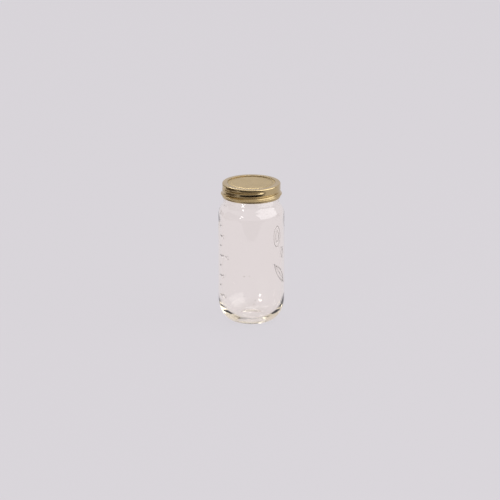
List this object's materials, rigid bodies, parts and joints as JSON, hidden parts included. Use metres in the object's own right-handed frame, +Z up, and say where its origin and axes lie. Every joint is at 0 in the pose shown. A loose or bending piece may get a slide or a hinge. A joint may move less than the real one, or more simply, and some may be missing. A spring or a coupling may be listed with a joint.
{
  "type": "screw-top preserving jar",
  "caption": "Clear glass preserving jar with a rounded heel and shoulder, a flat metal lid with a sealing ring, and a threaded metal band that screws down over it.",
  "frame": {"origin": "centre of the flat ring that the jar stands on, in the plane of the surface below it", "axes": "+Z up along the jar's axis, -Y towards the side that the picture shows, +X to the right of that view"},
  "size_m": [0.082, 0.082, 0.178],
  "materials": {
    "clear_glass": "clear pressed soda-lime glass, smooth and glossy, with slight waviness and a thick base",
    "satin_gold_tinplate": "tinplate with satin pale gold lacquer",
    "sealing_compound": "matt red-brown sealing compound",
    "bright_gold_tinplate": "tinplate with glossy gold lacquer, rolled thread and bead"
  },
  "bodies": {
    "jar": {"glass_jar": "clear_glass"},
    "lid": {"lid_disc": "satin_gold_tinplate", "sealing_ring": "sealing_compound"},
    "band": {"screw_band": "bright_gold_tinplate"}
  },
  "joints": [
    {"name": "lid_lift", "type": "slide", "parent": "jar", "child": "lid", "axis": [0, 0, 1], "range_m": [0, 0.0255]},
    {"name": "band_turn", "type": "hinge", "parent": "lid", "child": "band", "pos_m": [0, 0, 0.165], "axis": [0, 0, 1], "range_deg": [0, 1440]}
  ],
  "couplings": [
    {"joint": "lid_lift", "follows": "band_turn", "m_per_rad": 0.0010106}
  ]
}
